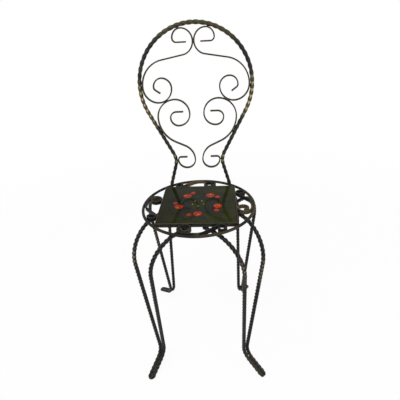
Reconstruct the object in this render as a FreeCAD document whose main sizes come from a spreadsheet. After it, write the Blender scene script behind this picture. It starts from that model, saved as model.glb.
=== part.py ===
import FreeCAD, Part

import math
import os
from types import SimpleNamespace

import Sketcher
from FreeCAD import Placement, Rotation, Vector

# A miniature wrought iron chair that serves as a plant stand. Its seat is a glazed tile in an iron frame,
# and the frame is set inside a round hoop of rod. +Z is up, +Y is towards the back, the origin is on the
# floor under the middle of the seat. Lengths are in millimetres and angles in degrees.

dimensions = {
    # seat: tile, tile frame, ring and the flat scrolls between ring and frame
    "seat_height": 366.0,          # floor to the centre of the ring's rod
    "ring_bar": 5.6,               # diameter of the ring's rod
    "tile_side": 152.4,
    "tile_thickness": 6.0,
    "tile_edge_round": 0.8,
    "tile_clearance": 0.5,         # play between tile and frame, each side
    "frame_wall": 2.2,
    "frame_height": 8.0,
    "frame_drop": 3.7,             # ring centre down to the frame's underside
    "ledge_width": 9.0,            # leg of the angle iron that the tile lies on
    "ledge_thickness": 1.6,
    "seat_strip_thickness": 3.0,
    "seat_strip_height": 8.0,
    "first_curl_turn": 190.0,      # inner turn of the large curl of a seat scroll
    "first_tail_turn": 110.0,      # its last, tighter turn
    "second_curl_turn": 150.0,     # inner turn of the small curl
    "contact_gap": 0.2,            # room left where two welded pieces meet
    # back: twisted hoop and the flat scrolls inside it, heights measured from the ring's centre
    "bar_side": 6.0,               # square bar, before it is twisted
    "bow_inset": 1.1,              # the round bow is this much smaller in radius than the ring
    "side_slope": 26.6,            # straight sides below the bow, from upright
    "waist_half_width": 52.0,
    "waist_height": 62.0,
    "waist_bend_radius": 40.0,
    "foot_half_spread": 67.5,
    "back_lean": 1.0,
    "hoop_pitch": 50.0,            # length of one full turn of twist
    "back_strip_thickness": 2.4,
    "back_strip_depth": 6.4,
    "upper_scroll_dip": 10.0,      # slope of the upper scroll's shoulder
    "curl_end_turn": 55.0,         # last bend of the upper scroll's lower curl
    "lower_curl_rise": 2.5,        # middle of the lower scroll's bottom curl above the waist
    # legs: each is one twisted bar folded back on itself at the toe
    "leg_pitch": 36.0,
    "leg_cross": 21.0,             # middle of a frame side to where a leg bar passes under it
    "leg_tuck": 10.0,              # bar that lies under the frame, past its edge
    "knee_reach": 156.0,           # chair axis to the knee, before the bend is rounded
    "knee_half_spread": 33.0,
    "ankle_reach": 134.5,
    "ankle_height": 29.5,
    "ankle_bend_radius": 29.0,
    "toe_length": 52.0,
    "toe_gap": 0.2,                # daylight between the two bars of a toe
    "wide_toe_turn": 20.5,         # twist of the front left and rear right toes
    "slight_toe_turn": 0.5,        # twist of the other two
    "foot_flat": 0.3,              # depth worn off the underside of a toe
}

# Bends of the upper scrolls, from curl to curl, as shares of the bow's radius.
upper_head_shares = (0.066, 0.145, 0.198, 0.211)
upper_tail_shares = (0.454, 0.269, 0.251, 0.172, 0.150, 0.062)
upper_tip_shares = (0.167, 0.106)
# Lower scrolls: the top curl in shares of the neck, which is the height from the waist to the bow's centre,
# the bottom curl in shares of half the waist, and the straight flank between them as a share of its height.
lower_head_shares = (0.079, 0.104, 0.154, 0.189, 0.236, 0.365)
lower_tail_shares = (0.365, 0.365, 0.125)
lower_tip_shares = (0.094, 0.270)
flank_share = 0.23
# Seat scrolls: the places of the two loops along the frame side, as shares of half that side,
# the bend where the strip leaves the ring as a share of the ring's radius, the angle where it does so
# as a share of a right angle, and the radii of the inner turns as shares of the outer ones.
loop_place_shares = (-0.26, 0.60)
leave_bend_share = 0.22
leave_angle_share = 0.01
first_curl_shares = (0.45, 0.78)
second_curl_share = 0.62
# Legs: how much of the level run from frame to knee is taken up by the knee's bend.
knee_bend_share = 0.889

sections_per_turn = {"hoop": 10, "leg": 7}
rod_sides = 8                      # flats that stand in for the round of the ring's rod
bend_step = 30.0                   # largest change of direction between two sections of a bar
chord_step = 13.0                  # and between two chords of a scroll's curve
sewing_tolerance = 0.001
square_corners = 4
quarter = 90.0
half_turn = 180.0

doc = FreeCAD.newDocument("chair")
sheet = doc.addObject("Spreadsheet::Sheet", "sheet")
for row, (alias, value) in enumerate(dimensions.items(), start=1):
    sheet.set(f"A{row}", alias)
    sheet.set(f"B{row}", str(value))
    sheet.setAlias(f"B{row}", alias)
doc.recompute()
size = SimpleNamespace(**{alias: sheet.get(alias) for alias in dimensions})

# Sizes that follow from the driving ones.
bar_corner = size.bar_side / math.sqrt(2)
frame_half = size.tile_side / 2 + size.tile_clearance + size.frame_wall
ring_inner = frame_half * math.sqrt(2) + size.contact_gap
ring_radius = ring_inner + size.ring_bar / 2
frame_bottom = size.seat_height - size.frame_drop
bow_radius = ring_radius - size.bow_inset
frame_half_text = "(sheet.tile_side / 2 + sheet.tile_clearance + sheet.frame_wall)"
frame_bottom_text = "sheet.seat_height - sheet.frame_drop"
seat_sides = ("front", "right", "rear", "left")
nodes = []


def keep(thing, label):
    thing.Label = label
    nodes.append(thing)
    return thing


def solid_feature(label, shape, placement):
    feature = doc.addObject("Part::Feature", label)
    feature.Shape = shape
    feature.Placement = placement
    return keep(feature, label)


# Flat paths: straight runs and bends, each a start point, a heading and a length or a radius and a turn.

def turned(vector, degrees):
    return Rotation(Vector(0, 0, 1), degrees).multVec(vector)


def ahead(heading):
    return turned(Vector(1, 0, 0), heading)


def leftwards(heading):
    return turned(Vector(0, 1, 0), heading)


def run(start, heading, length):
    return SimpleNamespace(start=start, heading=heading, length=length, radius=0.0, turn=0.0)


def bend(start, heading, radius, turn):
    length = radius * math.radians(abs(turn))
    return SimpleNamespace(start=start, heading=heading, length=length, radius=radius, turn=turn)


def centre_of(piece):
    return piece.start + leftwards(piece.heading) * math.copysign(piece.radius, piece.turn)


def point_at(piece, share):
    if not piece.turn:
        return piece.start + ahead(piece.heading) * (piece.length * share)
    centre = centre_of(piece)
    return centre + turned(piece.start - centre, piece.turn * share)


def end_of(piece):
    return point_at(piece, 1)


def bends_from(start, heading, bends):
    pieces = []
    for radius, turn in bends:
        pieces.append(bend(start, heading, radius, turn))
        start = end_of(pieces[-1])
        heading += turn
    return pieces


def moved(pieces, shift):
    return [SimpleNamespace(**{**vars(piece), "start": piece.start + shift}) for piece in pieces]


def reach_circle(start, direction, centre, radius):
    # distance along a line to where it leaves a circle
    offset = start - centre
    along = offset.dot(direction)
    return math.sqrt(along ** 2 - offset.dot(offset) + radius ** 2) - along


def crossing_tangent(centre_a, radius_a, centre_b, radius_b, side):
    # heading of the line that leaves circle a and joins circle b on its other side
    gap = centre_b - centre_a
    heading = math.degrees(math.atan2(gap.y, gap.x))
    return heading + side * math.degrees(math.asin((radius_a + radius_b) / gap.Length))


def strip_solid(pieces, thickness, depth):
    left = []
    right = []
    for piece in pieces:
        count = max(1, math.ceil(abs(piece.turn) / chord_step))
        first = 0 if piece is pieces[0] else 1
        for step in range(first, count + 1):
            normal = leftwards(piece.heading + piece.turn * step / count) * (thickness / 2)
            point = point_at(piece, step / count)
            left.append(point + normal)
            right.append(point - normal)
    outline = Part.makePolygon(left + right[::-1] + left[:1])
    return Part.Face(outline).extrude(Vector(0, 0, depth))


# Twisted square bars: squares set along a path, each turned a little further than the last.

def stations_of_bend(path, section_length):
    # sections of a path in space: distance, point, tangent and a normal carried along without twist
    distance = 0.0
    tangent, normal = path[0].tangent, path[0].normal
    stations = [(distance, path[0].start, tangent, normal)]
    for piece in path:
        count = max(math.ceil(piece.length / section_length), math.ceil(abs(piece.turn) / bend_step))
        for step in range(1, count + 1):
            share = step / count
            along = distance + piece.length * share
            if piece.turn:
                spin = Rotation(piece.axis, piece.turn * share)
                point = piece.centre + spin.multVec(piece.start - piece.centre)
                stations.append((along, point, spin.multVec(tangent), spin.multVec(normal)))
            else:
                stations.append((along, piece.start + tangent * (piece.length * share), tangent, normal))
        distance, _, tangent, normal = stations[-1]
    return stations


def twisted_solid(stations, pitch, plane_cut=None):
    # plane_cut is the height of a level plane that both ends of the bar are cut to
    points = []
    for index, (distance, point, tangent, normal) in enumerate(stations):
        sideways = tangent.cross(normal)
        for corner in range(square_corners):
            angle = math.tau * (distance / pitch + corner / square_corners)
            offset = normal * math.cos(angle) + sideways * math.sin(angle)
            place = point + offset * bar_corner
            if plane_cut is not None and index in (0, len(stations) - 1):
                place += tangent * ((plane_cut - place.z) / tangent.z)
            points.append(place)
    last = len(points) - square_corners
    facets = [(0, 2, 1), (0, 3, 2), (last, last + 1, last + 2), (last, last + 2, last + 3)]
    for first in range(0, last, square_corners):
        for corner in range(square_corners):
            here = first + corner
            beside = first + (corner + 1) % square_corners
            facets.append((here, beside, here + square_corners))
            facets.append((beside, beside + square_corners, here + square_corners))
    shape = Part.Shape()
    shape.makeShapeFromMesh((points, facets), sewing_tolerance)
    solid = Part.Solid(shape)
    if solid.Volume < 0:
        solid.reverse()
    return solid


def space_run(start, end):
    tangent = (end - start).normalize()
    return SimpleNamespace(start=start, length=(end - start).Length, turn=0.0, tangent=tangent)


def space_bend(start, centre, axis, turn):
    length = (start - centre).Length * math.radians(abs(turn))
    return SimpleNamespace(start=start, centre=centre, axis=axis, turn=turn, length=length)


def rounded_corners(corners, radii):
    # straight runs between corners, each corner rounded by a tangent bend
    path = []
    start = corners[0]
    for before, corner, after, radius in zip(corners, corners[1:], corners[2:], radii):
        towards = (before - corner).normalize()
        away = (after - corner).normalize()
        half_angle = towards.getAngle(away) / 2
        middle = (towards + away).normalize()
        first = corner + towards * (radius / math.tan(half_angle))
        centre = corner + middle * (radius / math.sin(half_angle))
        path.append(space_run(start, first))
        turn = half_turn - 2 * math.degrees(half_angle)
        path.append(space_bend(first, centre, away.cross(towards).normalize(), turn))
        start = corner + away * (radius / math.tan(half_angle))
    path.append(space_run(start, corners[-1]))
    return path


# The seat's ring: a round rod bent to a circle.

rod = doc.addObject("Part::RegularPolygon", "rod_section")
rod.Polygon = rod_sides
rod.setExpression("Circumradius", "sheet.ring_bar / 2")
rod.Placement = Placement(Vector(), Rotation(Vector(1, 0, 0), quarter))
rod.setExpression("Placement.Base.x", f"{frame_half_text} * sqrt(2) + sheet.contact_gap + sheet.ring_bar / 2")
rod.setExpression("Placement.Base.z", "sheet.seat_height")
ring = keep(doc.addObject("Part::Revolution", "seat_ring"), "seat_ring")
ring.Source = rod
ring.Axis = Vector(0, 0, 1)
ring.Base = Vector()
ring.Solid = True


# The tile and its frame of four mitred lengths of angle iron.

def polygon_sketch(body, name, corners):
    # each corner is a sign for X, a sign for Y and the half width, as an expression and as a number
    sketch = body.newObject("Sketcher::SketchObject", name)
    planes = [plane for plane in body.Origin.OriginFeatures if plane.Role == "XY_Plane"]
    sketch.AttachmentSupport = (planes[0], [""])
    sketch.MapMode = "FlatFace"
    places = [Vector(sign_x * value, sign_y * value, 0) for sign_x, sign_y, text, value in corners]
    count = len(places)
    for index, place in enumerate(places):
        sketch.addGeometry(Part.LineSegment(place, places[(index + 1) % count]), False)
    for index in range(count):
        sketch.addConstraint(Sketcher.Constraint("Coincident", index, 2, (index + 1) % count, 1))
    for index, (sign_x, sign_y, text, value) in enumerate(corners):
        for kind, sign in (("DistanceX", sign_x), ("DistanceY", sign_y)):
            ends = (-1, 1, index, 1) if sign > 0 else (index, 1, -1, 1)
            number = sketch.addConstraint(Sketcher.Constraint(kind, *ends, value))
            sketch.setExpression(f"Constraints[{number}]", text)
    return sketch


def pad(body, sketch, length):
    feature = body.newObject("PartDesign::Pad", f"{sketch.Name}_pad")
    feature.Profile = sketch
    feature.setExpression("Length", length)
    return feature


def mitred_band(body, name, width_text, width, height_text):
    inner_text = f"{frame_half_text} - {width_text}"
    inner = frame_half - width
    corners = [(-1, -1, frame_half_text, frame_half), (1, -1, frame_half_text, frame_half),
               (1, -1, inner_text, inner), (-1, -1, inner_text, inner)]
    pad(body, polygon_sketch(body, name, corners), height_text)


ledge_reach = size.frame_wall + size.ledge_width
ledge_text = "(sheet.frame_wall + sheet.ledge_width)"
for index, side in enumerate(seat_sides):
    label = f"{side}_frame_side"
    body = keep(doc.addObject("PartDesign::Body", label), label)
    mitred_band(body, f"{side}_ledge", ledge_text, ledge_reach, "sheet.ledge_thickness")
    mitred_band(body, f"{side}_wall", "sheet.frame_wall", size.frame_wall, "sheet.frame_height")
    body.Placement = Placement(Vector(), Rotation(Vector(0, 0, 1), quarter * index))
    body.setExpression("Placement.Base.z", frame_bottom_text)

tile = keep(doc.addObject("PartDesign::Body", "tile"), "tile")
tile_corners = [(sign_x, sign_y, "sheet.tile_side / 2", size.tile_side / 2)
                for sign_x, sign_y in ((-1, -1), (1, -1), (1, 1), (-1, 1))]
slab = pad(tile, polygon_sketch(tile, "tile_outline", tile_corners), "sheet.tile_thickness")
doc.recompute()
heights = [face.CenterOfMass.z for face in slab.Shape.Faces]
glazed_edge = tile.newObject("PartDesign::Fillet", "glazed_edge")
glazed_edge.Base = (slab, [f"Face{heights.index(max(heights)) + 1}"])
glazed_edge.setExpression("Radius", "sheet.tile_edge_round")
tile.setExpression("Placement.Base.z", f"{frame_bottom_text} + sheet.ledge_thickness")


# Flat scrolls of the seat: one in each segment between the frame and the ring.

def seat_scroll():
    clear = size.seat_strip_thickness / 2 + size.contact_gap
    wall = frame_half + clear
    rim = ring_inner - clear
    loops = []
    for share in loop_place_shares:
        place = frame_half * share
        radius = (rim ** 2 - wall ** 2 - place ** 2) / (2 * wall + 2 * rim)
        loops.append((Vector(place, -wall - radius, 0), radius))
    (first_centre, first_radius), (second_centre, second_radius) = loops
    meet = math.degrees(math.atan2(first_centre.y, first_centre.x))
    leave = -quarter + quarter * leave_angle_share
    leave_radius = rim * leave_bend_share
    leave_centre = ahead(leave) * (rim - leave_radius)
    climb = crossing_tangent(leave_centre, leave_radius, second_centre, second_radius, 1)
    # the large curl is drawn from its tail outwards, then put where its outer turn belongs
    tail_heading = half_turn - size.first_curl_turn - size.first_tail_turn
    tail_share, curl_share = first_curl_shares
    pieces = bends_from(Vector(), tail_heading,
                        [(first_radius * tail_share, size.first_tail_turn),
                         (first_radius * curl_share, size.first_curl_turn),
                         (first_radius, half_turn + quarter + meet), (rim, leave - meet),
                         (leave_radius, climb - leave - quarter)])
    pieces = moved(pieces, first_centre - centre_of(pieces[2]))
    leaving = end_of(pieces[-1])
    landing = second_centre + leftwards(climb) * second_radius
    pieces.append(run(leaving, climb, (landing - leaving).Length))
    pieces += bends_from(landing, climb, [(second_radius, -climb - half_turn),
                                          (second_radius * second_curl_share, -size.second_curl_turn)])
    return strip_solid(pieces, size.seat_strip_thickness, size.seat_strip_height)


scroll_shape = seat_scroll()
for index, side in enumerate(seat_sides):
    spot = Placement(Vector(0, 0, frame_bottom), Rotation(Vector(0, 0, 1), quarter * index))
    solid_feature(f"{side}_seat_scroll", scroll_shape.copy(), spot)


# The back's hoop, drawn in its own plane from the top of the bow down to the right foot.

waist_centre = Vector(size.waist_half_width + size.waist_bend_radius, size.waist_height, 0)
foot_height = size.ring_bar / 2 + size.contact_gap
foot = Vector(size.foot_half_spread, foot_height, 0)
side_heading = -quarter - size.side_slope
outwards = leftwards(side_heading)
# the bow is as high above the waist as its straight sides make it
neck = (bow_radius + size.waist_bend_radius - waist_centre.x * outwards.x) / -outwards.y
bow_centre = Vector(0, size.waist_height + neck, 0)
side_start = bow_centre + outwards * bow_radius
side_end = waist_centre - outwards * size.waist_bend_radius
to_foot = foot - waist_centre
foot_angle = math.atan2(to_foot.y, to_foot.x) + math.asin(size.waist_bend_radius / to_foot.Length)
foot_heading = math.degrees(foot_angle)
foot_start = waist_centre - leftwards(foot_heading) * size.waist_bend_radius
half_hoop = [
    bend(bow_centre + Vector(0, bow_radius, 0), 0.0, bow_radius, side_heading),
    run(side_start, side_heading, (side_end - side_start).Length),
    bend(side_end, side_heading, size.waist_bend_radius, foot_heading - side_heading),
    run(foot_start, foot_heading, (foot - foot_start).Length),
]

foot_setback = math.sqrt(ring_radius ** 2 - size.foot_half_spread ** 2)
back_plane = Placement(Vector(0, foot_setback, size.seat_height),
                       Rotation(Vector(1, 0, 0), quarter - size.back_lean))


def mirrored_back(piece):
    # the same piece on the other half of the hoop, followed the other way
    end = end_of(piece)
    start = Vector(-end.x, end.y, 0)
    return SimpleNamespace(**{**vars(piece), "start": start, "heading": -piece.heading - piece.turn})


def in_back_plane(piece):
    direction = back_plane.Rotation.multVec(ahead(piece.heading))
    start = back_plane.multVec(piece.start)
    normal = back_plane.Rotation.multVec(Vector(0, 0, 1))
    if piece.turn:
        bent = space_bend(start, back_plane.multVec(centre_of(piece)), normal, piece.turn)
    else:
        bent = space_run(start, back_plane.multVec(end_of(piece)))
    bent.tangent, bent.normal = direction, normal
    return bent


hoop_path = [in_back_plane(mirrored_back(piece)) for piece in reversed(half_hoop)]
hoop_path += [in_back_plane(piece) for piece in half_hoop]
hoop_stations = stations_of_bend(hoop_path, size.hoop_pitch / sections_per_turn["hoop"])
hoop_bar = twisted_solid(hoop_stations, size.hoop_pitch, size.seat_height + foot_height)
solid_feature("back_hoop", hoop_bar, Placement())


# Flat scrolls of the back, on the right of the hoop, then mirrored to the left.

strip_clear = size.back_strip_thickness / 2 + size.contact_gap
hoop_clear = bar_corner + strip_clear


def upper_scroll():
    head = [bow_radius * share for share in upper_head_shares]
    tail = [bow_radius * share for share in upper_tail_shares]
    tips = [bow_radius * share for share in upper_tip_shares]
    dip = size.upper_scroll_dip
    turns = [quarter] * (len(head) - 1) + [quarter - dip]
    pieces = bends_from(Vector(), 0.0, list(zip(head, turns)))
    inside = bow_radius - hoop_clear
    # the curl touches its twin at the middle and the bow above it
    sideways = strip_clear - size.contact_gap / 2 - pieces[3].start.x
    crown = centre_of(pieces[1])
    reach = inside - head[1]
    rise = bow_centre.y + math.sqrt(reach ** 2 - (crown.x + sideways) ** 2) - crown.y
    pieces = moved(pieces, Vector(sideways, rise, 0))
    turns = [-(quarter - dip)] + [-quarter] * (len(tail) - 2) + [-size.curl_end_turn]
    leaving = end_of(pieces[-1])
    lower = bends_from(leaving, -dip, list(zip(tail, turns)))
    # the shoulder is as long as it takes for the loop to touch the side of the bow
    lengths = [reach_circle(centre_of(piece), ahead(-dip), bow_centre, inside - piece.radius)
               for piece in lower[:2]]
    shoulder = run(leaving, -dip, min(lengths))
    lower = moved(lower, end_of(shoulder) - leaving)
    first = run(pieces[0].start - Vector(tips[0], 0, 0), 0.0, tips[0])
    last = run(end_of(lower[-1]), lower[-1].heading + lower[-1].turn, tips[1])
    return [first] + pieces + [shoulder] + lower + [last]


def lower_scroll(neighbour):
    *head, flank_radius = [neck * share for share in lower_head_shares]
    tail = [size.waist_half_width * share for share in lower_tail_shares]
    upper = bends_from(Vector(), 0.0, [(radius, -quarter) for radius in head])
    # the top curl touches the loop of the upper scroll and, on its way down, the straight side of the hoop
    loop = centre_of(upper[-1])
    side = end_of(upper[-1]) - Vector(flank_radius, 0, 0)
    level = loop + outwards * ((side_start - side).dot(outwards) - hoop_clear - flank_radius)
    apart = upper[-1].radius + neighbour.radius + 2 * strip_clear - size.contact_gap
    slide = reach_circle(level, ahead(side_heading), centre_of(neighbour), apart)
    upper = moved(upper, level + ahead(side_heading) * slide - loop)
    # the bottom curl touches the waist of the hoop, and a flank of two bends and a straight leads to it
    heading = upper[-1].heading + upper[-1].turn
    leaving = end_of(upper[-1])
    landing = Vector(size.waist_half_width - hoop_clear - tail[0] - tail[1],
                     size.waist_height + size.lower_curl_rise, 0)
    across, down = leaving.x - landing.x, leaving.y - landing.y
    straight = down * flank_share
    turn = 2 * math.atan2(across, down + straight)
    radii_sum = (down * math.sin(turn) - across * math.cos(turn)) / (1 - math.cos(turn))
    turn = math.degrees(turn)
    first_bend = bend(leaving, heading, flank_radius, -turn)
    flank = run(end_of(first_bend), heading - turn, straight)
    lower = bends_from(end_of(flank), heading - turn,
                       [(radii_sum - flank_radius, turn)] + [(radius, quarter) for radius in tail])
    start_tip, end_tip = neck * lower_tip_shares[0], size.waist_half_width * lower_tip_shares[1]
    first = run(upper[0].start - Vector(start_tip, 0, 0), 0.0, start_tip)
    last = run(end_of(lower[-1]), lower[-1].heading + lower[-1].turn, end_tip)
    return [first] + upper + [first_bend, flank] + lower + [last]


upper_pieces = upper_scroll()
lower_pieces = lower_scroll(upper_pieces[8])
strip_plane = back_plane.multiply(Placement(Vector(0, 0, -size.back_strip_depth / 2), Rotation()))
for level, pieces in (("upper", upper_pieces), ("lower", lower_pieces)):
    shape = strip_solid(pieces, size.back_strip_thickness, size.back_strip_depth)
    right = solid_feature(f"{level}_right_scroll", shape, strip_plane)
    left = keep(doc.addObject("Part::Mirroring", f"{level}_left_scroll"), f"{level}_left_scroll")
    left.Source = right
    left.Normal = Vector(1, 0, 0)


# Legs: one twisted bar each, from under the frame out over the knee, down to the toe and back up.

toe_half_gap = bar_corner + size.toe_gap / 2
leg_top = frame_bottom - size.contact_gap - bar_corner


def leg_solid(quadrant, toe_turn):
    # drawn with the leg's diagonal along +X, then turned into its quadrant
    diagonal = Rotation(Vector(0, 0, 1), -quarter / 2)
    crossing = diagonal.multVec(Vector(frame_half, size.leg_cross, 0))
    crossing = Vector(crossing.x, abs(crossing.y), leg_top)
    ankle = Vector(size.ankle_reach, 0, size.ankle_height)
    toe_ahead = ahead(toe_turn)
    toe_side = leftwards(toe_turn)
    slope = math.atan2(size.ankle_height - size.bar_side, size.toe_length)
    tip = ankle + toe_ahead * size.toe_length
    tip.z = toe_half_gap * math.sin(slope) + size.bar_side / 2 * math.cos(slope) - size.foot_flat
    halves = []
    for side in (1, -1):
        knee = Vector(size.knee_reach, side * size.knee_half_spread, leg_top)
        edge = Vector(crossing.x, side * crossing.y, leg_top)
        end = edge + (edge - knee).normalize() * size.leg_tuck
        beside = toe_side * (side * toe_half_gap)
        corners = [end, knee, ankle + beside, tip + beside]
        level = knee - edge
        knee_turn = level.getAngle(corners[2] - knee)
        knee_radius = level.Length * knee_bend_share / math.tan(knee_turn / 2)
        halves.append((corners, [knee_radius, size.ankle_bend_radius]))
    (down, down_radii), (up, up_radii) = halves
    path = rounded_corners(down, down_radii)
    toe_axis = (down[3] - down[2]).cross(toe_side).normalize() * -1
    path.append(space_bend(down[3], tip, toe_axis, half_turn))
    path += rounded_corners(up[::-1], up_radii[::-1])
    path[0].normal = Vector(0, 0, 1)
    stations = stations_of_bend(path, size.leg_pitch / sections_per_turn["leg"])
    bar = twisted_solid(stations, size.leg_pitch)
    box = bar.BoundBox
    floor = Part.makeBox(box.XLength, box.YLength, box.ZLength, Vector(box.XMin, box.YMin, -box.ZLength))
    return bar.cut(floor), Placement(Vector(), Rotation(Vector(0, 0, 1), quadrant * quarter - quarter / 2))


toe_turns = (size.slight_toe_turn, size.wide_toe_turn, size.slight_toe_turn, size.wide_toe_turn)
leg_names = ("front_right_leg", "rear_right_leg", "rear_left_leg", "front_left_leg")
for quadrant, (label, toe_turn) in enumerate(zip(leg_names, toe_turns)):
    solid_feature(label, *leg_solid(quadrant, toe_turn))

doc.recompute()
for thing in doc.Objects:
    if "Invalid" in thing.State or "Error" in thing.State:
        raise RuntimeError(f"{thing.Label} did not build: {thing.State}")
for node in nodes:
    if node.Shape.isNull() or not node.Shape.isValid():
        raise RuntimeError(f"{node.Label} has no valid shape")

os.makedirs("parts", exist_ok=True)
for node in nodes:
    node.Shape.exportStep(f"parts/{node.Label}.step")
    print(node.Label, len(node.Shape.Solids), round(node.Shape.Volume, 1), node.Shape.BoundBox)
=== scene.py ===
import bpy
import math
from mathutils import Matrix, Vector


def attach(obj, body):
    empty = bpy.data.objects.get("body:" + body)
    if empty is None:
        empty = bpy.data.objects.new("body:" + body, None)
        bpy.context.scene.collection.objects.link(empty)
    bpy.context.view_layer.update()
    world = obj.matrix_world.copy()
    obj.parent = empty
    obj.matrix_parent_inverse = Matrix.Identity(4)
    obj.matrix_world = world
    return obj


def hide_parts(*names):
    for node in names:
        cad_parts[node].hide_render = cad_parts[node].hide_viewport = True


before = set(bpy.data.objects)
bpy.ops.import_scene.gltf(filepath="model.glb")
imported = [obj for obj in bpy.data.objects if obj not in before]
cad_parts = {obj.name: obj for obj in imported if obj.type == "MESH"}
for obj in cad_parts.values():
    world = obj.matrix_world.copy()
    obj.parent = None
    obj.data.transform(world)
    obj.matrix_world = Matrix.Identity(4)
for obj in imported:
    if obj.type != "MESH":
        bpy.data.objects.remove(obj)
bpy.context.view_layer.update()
scene = bpy.context.scene
scene.view_settings.view_transform = "Standard"
print("frame loaded:", len(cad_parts), "nodes")


# picking and finishing
mergeWithin = 0.00001
brushFrom = Vector((-0.10, -0.96, 0.26))          # gilding, with a painted highlight on the faces that look this way


def pickNone():
    if bpy.context.mode != "OBJECT":
        bpy.ops.object.mode_set(mode="OBJECT")
    bpy.ops.object.select_all(action="DESELECT")


def pickOnly(obj):
    pickNone()
    obj.select_set(True)
    bpy.context.view_layer.objects.active = obj


def pickAll(obj):
    pickOnly(obj)
    bpy.ops.object.mode_set(mode="EDIT")
    bpy.ops.mesh.select_all(action="SELECT")


def startPicking(obj, kind):
    pickOnly(obj)
    bpy.ops.object.mode_set(mode="EDIT")
    bpy.ops.mesh.select_mode(type=kind)
    bpy.ops.mesh.select_all(action="DESELECT")
    bpy.ops.object.mode_set(mode="OBJECT")


def pickVerts(obj, wanted):
    startPicking(obj, "VERT")
    for vert in obj.data.vertices:
        vert.select = wanted(vert.co)
    bpy.ops.object.mode_set(mode="EDIT")


def pickEdges(obj, wanted):
    startPicking(obj, "EDGE")
    verts = obj.data.vertices
    for edge in obj.data.edges:
        one, two = edge.vertices
        edge.select = wanted(verts[one].co, verts[two].co)
    bpy.ops.object.mode_set(mode="EDIT")


def applyModifiers(obj):
    pickOnly(obj)
    for name in [modifier.name for modifier in obj.modifiers]:
        bpy.ops.object.modifier_apply(modifier=name)


def settle(obj):
    # its place, turn and scale go into its mesh
    pickOnly(obj)
    bpy.ops.object.transform_apply(location=True, rotation=True, scale=True)


def tidyMesh(obj):
    # doubles merged, then faces turned outwards
    pickAll(obj)
    bpy.ops.mesh.remove_doubles(threshold=mergeWithin)
    bpy.ops.mesh.normals_make_consistent(inside=False)
    bpy.ops.object.mode_set(mode="OBJECT")


def smoothUnder(obj, degrees):
    pickOnly(obj)
    bpy.ops.object.shade_smooth_by_angle(angle=math.radians(degrees))


def ownCopy(obj, name):
    twin = bpy.data.objects.new(name, obj.data.copy())
    scene.collection.objects.link(twin)
    return twin


def easeEdges(obj, easing):
    eased = obj.modifiers.new("eased", "BEVEL")
    eased.width = easing["width"]
    eased.segments = easing["segments"]
    eased.limit_method = "ANGLE"
    eased.angle_limit = math.radians(easing["over"])
    applyModifiers(obj)


def roughened(obj, name, lumps):
    cloud = bpy.data.textures.new(name, "CLOUDS")
    cloud.noise_scale = lumps["grain"]
    uneven = obj.modifiers.new(name, "DISPLACE")
    uneven.texture = cloud
    uneven.texture_coords = "LOCAL"
    uneven.strength = lumps["depth"]
    uneven.mid_level = lumps["level"]
    applyModifiers(obj)


def markPoints(obj, name, values):
    mark = obj.data.attributes.new(name, "FLOAT", "POINT")
    mark.data.foreach_set("value", values)


def markCrests(obj, isCrest):
    # edges that stand out: rubbed lighter as wear, and darker on the hoop as painted shade
    markPoints(obj, "crest", [float(isCrest(vert.co)) for vert in obj.data.vertices])


def markFronts(obj):
    # how squarely each point faces the way that gets gilding and a painted highlight
    markPoints(obj, "front", [vert.normal.dot(brushFrom) for vert in obj.data.vertices])


def dressIron(obj, material, *nodes):
    markFronts(obj)
    obj.data.materials.clear()
    obj.data.materials.append(material)
    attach(obj, "ironwork")
    if nodes:
        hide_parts(*nodes)


# node helpers

def addNode(tree, kind, **settings):
    node = tree.nodes.new(kind)
    for name, value in settings.items():
        setattr(node, name, value)
    return node


def feed(tree, socket, value):
    if isinstance(value, bpy.types.NodeSocket):
        tree.links.new(value, socket)
    else:
        socket.default_value = value


def calc(tree, operation, first, second=0.0, third=0.0, clamp=False):
    node = addNode(tree, "ShaderNodeMath", operation=operation, use_clamp=clamp)
    for socket, value in zip(node.inputs, (first, second, third)):
        feed(tree, socket, value)
    return node.outputs[0]


def weighed(tree, values, shares, start=0.0):
    # the named shares of several values, added up
    total = start
    for name, share in shares.items():
        total = calc(tree, "MULTIPLY_ADD", values[name], share, total)
    return total


def strongest(tree, first, *others):
    for other in others:
        first = calc(tree, "MAXIMUM", first, other)
    return first


def hypotenuse(tree, one, two):
    squares = calc(tree, "MULTIPLY", one, one), calc(tree, "MULTIPLY", two, two)
    return calc(tree, "SQRT", calc(tree, "ADD", *squares))


def fade(tree, value, low, high):
    # 0 below low, 1 above high, soft between
    node = addNode(tree, "ShaderNodeMapRange", interpolation_type="SMOOTHSTEP")
    feed(tree, node.inputs["Value"], value)
    feed(tree, node.inputs["From Min"], low)
    feed(tree, node.inputs["From Max"], high)
    return node.outputs["Result"]


def below(tree, value, low, high):
    return calc(tree, "SUBTRACT", 1.0, fade(tree, value, low, high))


def mixColour(tree, amount, first, second, blend="MIX"):
    node = addNode(tree, "ShaderNodeMix", data_type="RGBA", blend_type=blend)
    feed(tree, node.inputs["Factor"], amount)
    feed(tree, node.inputs[6], first)          # 6 and 7 are its two colours
    feed(tree, node.inputs[7], second)
    return node.outputs[2]


def painted(tree, colour, paint, mask, amount):
    return mixColour(tree, calc(tree, "MULTIPLY", mask, amount), colour, paint)


def noise(tree, where, scale, detail=3.0, rough=0.55, warp=0.0):
    node = addNode(tree, "ShaderNodeTexNoise")
    tree.links.new(where, node.inputs["Vector"])
    node.inputs["Scale"].default_value = scale
    node.inputs["Detail"].default_value = detail
    node.inputs["Roughness"].default_value = rough
    node.inputs["Distortion"].default_value = warp
    return node.outputs["Fac"]


def newMaterial(name):
    material = bpy.data.materials.new(name)
    material.use_nodes = True
    tree = material.node_tree
    tree.nodes.clear()
    surface = addNode(tree, "ShaderNodeBsdfPrincipled")
    output = addNode(tree, "ShaderNodeOutputMaterial")
    tree.links.new(surface.outputs["BSDF"], output.inputs["Surface"])
    return material, tree, surface


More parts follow.
